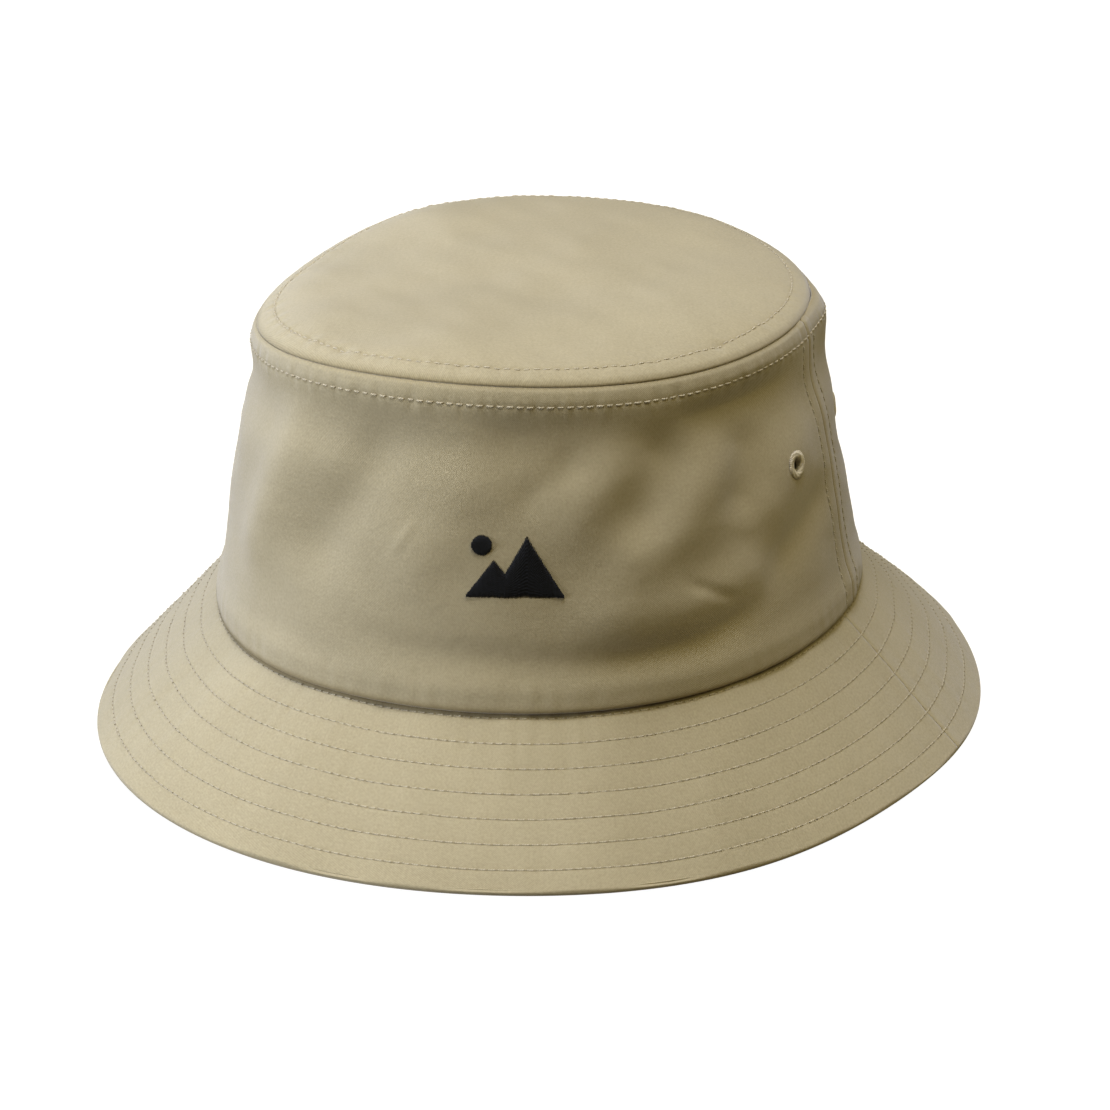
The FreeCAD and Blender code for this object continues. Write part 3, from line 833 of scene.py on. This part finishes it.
# The ring of thread in section: (radius, how far out of the cloth)
EYELET_PROFILE = [
    (EYELET_OUT, -0.1), (EYELET_OUT - 0.2, 0.3), (EYELET_OUT - 0.6, 0.55), (EYELET_OUT - 1.1, 0.68),
    (EYELET_IN + 0.4, 0.55), (EYELET_IN + 0.05, 0.1), (EYELET_IN, -0.6), (EYELET_IN + 0.05, -1.3),
    (EYELET_IN + 0.5, -1.62), (EYELET_OUT - 1.1, -1.7), (EYELET_OUT - 0.3, -1.45), (EYELET_OUT, -1.2),
    (EYELET_OUT - 0.9, -0.6),
]


def patch_frame(degrees, height):
    """Place, sideways, upward and outward directions of a small patch of the wall."""
    angle = np.array([math.radians(degrees)])
    level = np.array([height])
    steps = [(s / SIDE_RADIUS, t) for s in np.linspace(-3, 3, 7) for t in np.linspace(-3, 3, 7)]
    where = np.mean([wall(angle + s, level + t)[0] for s, t in steps], axis=0)
    out = unit(np.mean([surface_normal(wall, angle + s, level + t)[0] for s, t in steps], axis=0))
    side = unit(np.cross(UP, out))
    return where, side, np.cross(out, side), out


def eyelet(name, degrees, level, node_name):
    """A ring of thread wound through the wall, with a ridge for each pass of the thread."""
    where, side, up, out = patch_frame(degrees, level)
    threads, around = 46, 8
    turn = np.linspace(0, TURN, threads * around, endpoint=False)
    ridge = 0.5 + 0.5 * np.cos(turn * threads)
    uneven = 0.14 * np.repeat(np.random.default_rng(int(degrees) + 300).uniform(-1, 1, threads), around)
    rings = []
    for radius, depth in EYELET_PROFILE:
        spread = np.clip((radius - EYELET_IN) / (EYELET_OUT - EYELET_IN), 0, 1)
        r = radius + uneven * spread + 0.10 * ridge * spread
        z = depth + np.sign(depth + 0.5) * 0.11 * ridge
        flat = side * (r * np.cos(turn))[:, None] + up * (r * np.sin(turn))[:, None]
        rings.append(where + flat + out * z[:, None])
    points = np.array(rings)
    rows, columns = points.shape[:2]
    index = np.arange(rows * columns).reshape(rows, columns)
    beside = np.roll(index, -1, 1)
    faces = np.stack([index, beside, np.roll(beside, -1, 0), np.roll(index, -1, 0)], -1).reshape(-1, 4)
    uv = np.stack(np.broadcast_arrays(np.linspace(0, 0.004, rows)[:, None], (turn * 0.003)[None]), -1)
    piece = mesh_object(name, points.reshape(-1, 3), faces.tolist(), uv.reshape(-1, 2))
    return finish_piece(piece, EYELET, node_name)


for key, (degrees, level) in EYELETS.items():
    eyelet(f"worked_eyelet_{key}", degrees, level, f"eyelet_{key}")


# ---- Emblem: two peaks and a sun in satin stitch ----
PEAKS = [(-14.3, -8.6), (-6.2, 2.0), (-2.8, -1.6), (3.4, 8.6), (14.3, -8.6)]
SUN_X, SUN_Y, SUN_RADIUS = -9.6, 5.6, 2.9
SATIN_STEP = 0.36        # from one satin stitch to the next


def emblem():
    spans = []           # (x, low, high) of each satin stitch, on the emblem's flat
    xs, ys = zip(*PEAKS)
    for x in np.arange(xs[0] + 0.3, xs[-1] - 0.2, SATIN_STEP):
        top = np.interp(x, xs, ys)
        if top - ys[0] > 0.5:
            spans.append((x, ys[0] + rng.uniform(-0.12, 0.12), top + rng.uniform(-0.12, 0.12)))
    for x in np.arange(-SUN_RADIUS + 0.15, SUN_RADIUS, SATIN_STEP):
        half = math.sqrt(SUN_RADIUS ** 2 - x * x)
        low, high = SUN_Y - half + rng.uniform(-0.08, 0.08), SUN_Y + half + rng.uniform(-0.08, 0.08)
        spans.append((SUN_X + x, low, high))
    rings, sides = 9, 8
    lines = []
    for x, low, high in spans:
        y = np.linspace(low, high, rings)
        lines.append(wall(math.radians(EMBLEM_ANGLE) + (x + 0 * y) / FRONT_RADIUS, EMBLEM_HEIGHT + y))
    _, side, _, out = patch_frame(EMBLEM_ANGLE, EMBLEM_HEIGHT)
    t = np.linspace(-1, 1, rings)
    rise = (0.62 * (1 - np.abs(t) ** 4) - 0.1)[None, :, None, None]
    thick = (0.25 * np.sqrt(np.clip(1 - np.abs(t) ** 10, 0.1, 1)))[None, :, None, None]
    turn = np.linspace(0, TURN, sides, endpoint=False)[None, None, :, None]
    points = (np.array(lines)[:, :, None] + out * rise + side * (np.cos(turn) * thick)
              + out * (np.sin(turn) * thick))
    return finish_piece(tubes("peaks_and_sun", points, t, 6), BLACK, "front_emblem")


emblem()


# ---- Care label ----
LABEL_HALF, LABEL_LENGTH = 11.0, 35.8


def care_label():
    """A ribbon in two pieces: the end sewn in under the tip seam, and the flap that hangs from it."""
    joint = next(j for j in frame["joints"] if j["name"] == "care_label_swing")
    hinge = np.array(joint["pos_m"]) * 1000
    side = unit(np.array(joint["axis"], float))
    out = np.cross(side, UP)
    if out @ np.array([hinge[0], hinge[1], 0]) < 0:
        out, side = -out, -side
    x, y = np.meshgrid(np.linspace(-LABEL_HALF, LABEL_HALF, 40), np.linspace(-0.35, -LABEL_LENGTH, 64))
    bow = 0.35 * np.cos(x / LABEL_HALF * 1.5) + 0.25 * np.sin(-y / 9.0)
    bow = bow * np.clip(-y / 30, 0, 1)
    hem = 0.10 * bell(np.abs(x) - 10.3, 0.5) + 0.12 * bell(y + 34.6, 0.6)
    thick = out * (0.13 + hem)[..., None]
    flat = hinge + x[..., None] * side + y[..., None] * UP - bow[..., None] * out
    flap = shell("care_label_flap", flat + thick, flat - thick, np.stack([x, y], -1) * 0.001)
    finish_piece(flap, LABEL, "care_label", body="care_label")
    half = LABEL_HALF / LABEL_RADIUS
    angle, height = grid(LABEL_ANGLE - half, LABEL_ANGLE + half, 30, hinge[2] - BASE_Z + 0.5, HEIGHT - 5, 14)
    tab = shell("care_label_sewn_end", wall(angle, height, 1.55), wall(angle, height, 2.0),
                cloth_uv(angle, height, LABEL_RADIUS))
    finish_piece(tab, LABEL, "care_label_tab")


care_label()


# ---- Stage, light and camera ----
LIGHTS = [               # name, place, (width, height), watts, colour
    ("key", (-1.8, -1.1, 0.20), (1.4, 0.36), 39, (0.98, 1.05, 1.22)),
    ("top", (-0.3, -0.1, 2.1), (1.4, 1.4), 53, (0.97, 1.04, 1.29)),
    ("fill", (1.3, -0.4, 2.2), (1.4, 1.4), 26, (1.0, 0.88, 0.48)),
]
LIT = (0, 0, 0.08)       # the point that the lights face
AZIMUTH, ELEVATION, ROLLED = math.radians(17.5), math.radians(23.8), math.radians(-0.9)
DISTANCE = 1.3154        # of the camera from the middle of the hat, which is this far over the brim seam:
MIDDLE = 0.0304
ASIDE, BELOW = 0.0050, 0.0239                      # how far to the right of that and under it it looks
SENSOR, PICTURE, FOCAL = 36, 1110, 4470            # width in millimetres, width and focal length in pixels


def stage():
    """A plain pale floor. It looks brighter than it shines on the hat, so that it stays near white."""
    bpy.ops.mesh.primitive_plane_add(size=8, location=(0, 0, -0.0002))
    floor = bpy.context.object
    floor.name = "floor"
    look = Look("floor")
    look.shader.inputs["Base Color"].default_value = (0.16, 0.135, 0.08, 1)
    look.shader.inputs["Emission Color"].default_value = (1, 1, 1, 1)
    seen = look.nodes.new("ShaderNodeLightPath")
    look.links.new(seen.outputs["Is Camera Ray"], look.shader.inputs["Emission Strength"])
    floor.data.materials.append(look.finish(roughness=0.95, specular=0.0, sheen=0.0))


def area_light(name, place, size, power, colour):
    light = bpy.data.lights.new(name, "AREA")
    light.shape, light.energy, light.color = "RECTANGLE", power, colour
    light.size, light.size_y = size
    lamp = bpy.data.objects.new(name, light)
    lamp.location = place
    lamp.rotation_euler = Vector(np.array(LIT) - np.array(place)).to_track_quat("-Z", "Y").to_euler()
    bpy.context.scene.collection.objects.link(lamp)


def camera():
    back = np.array([math.sin(AZIMUTH) * math.cos(ELEVATION), -math.cos(AZIMUTH) * math.cos(ELEVATION),
                     math.sin(ELEVATION)])
    level = unit(np.cross(-back, UP))
    upward = np.cross(level, -back)
    right = math.cos(ROLLED) * level + math.sin(ROLLED) * upward
    up = -math.sin(ROLLED) * level + math.cos(ROLLED) * upward
    middle = np.array([0, 0, BASE_Z * 0.001 + MIDDLE])
    eye = middle + back * DISTANCE
    forward = unit(middle + ASIDE * right - BELOW * up - eye)
    right = unit(right - (right @ forward) * forward)
    up = np.cross(right, forward)
    data = bpy.data.cameras.new("camera")
    data.lens, data.sensor_width = SENSOR * FOCAL / PICTURE, SENSOR
    data.clip_start, data.clip_end = 0.05, 20
    view = bpy.data.objects.new("camera", data)
    view.matrix_world = Matrix([*zip(right, up, -forward, eye), (0, 0, 0, 1)])
    bpy.context.scene.collection.objects.link(view)
    bpy.context.scene.camera = view


def surroundings():
    world = bpy.data.worlds.new("studio")
    world.use_nodes = True
    background = world.node_tree.nodes["Background"]
    background.inputs["Color"].default_value = (1.0, 0.85, 0.6, 1)
    background.inputs["Strength"].default_value = 0.03
    bpy.context.scene.world = world
    bpy.context.scene.view_settings.view_transform = "Standard"


stage()
surroundings()
for light in LIGHTS:
    area_light(*light)
camera()
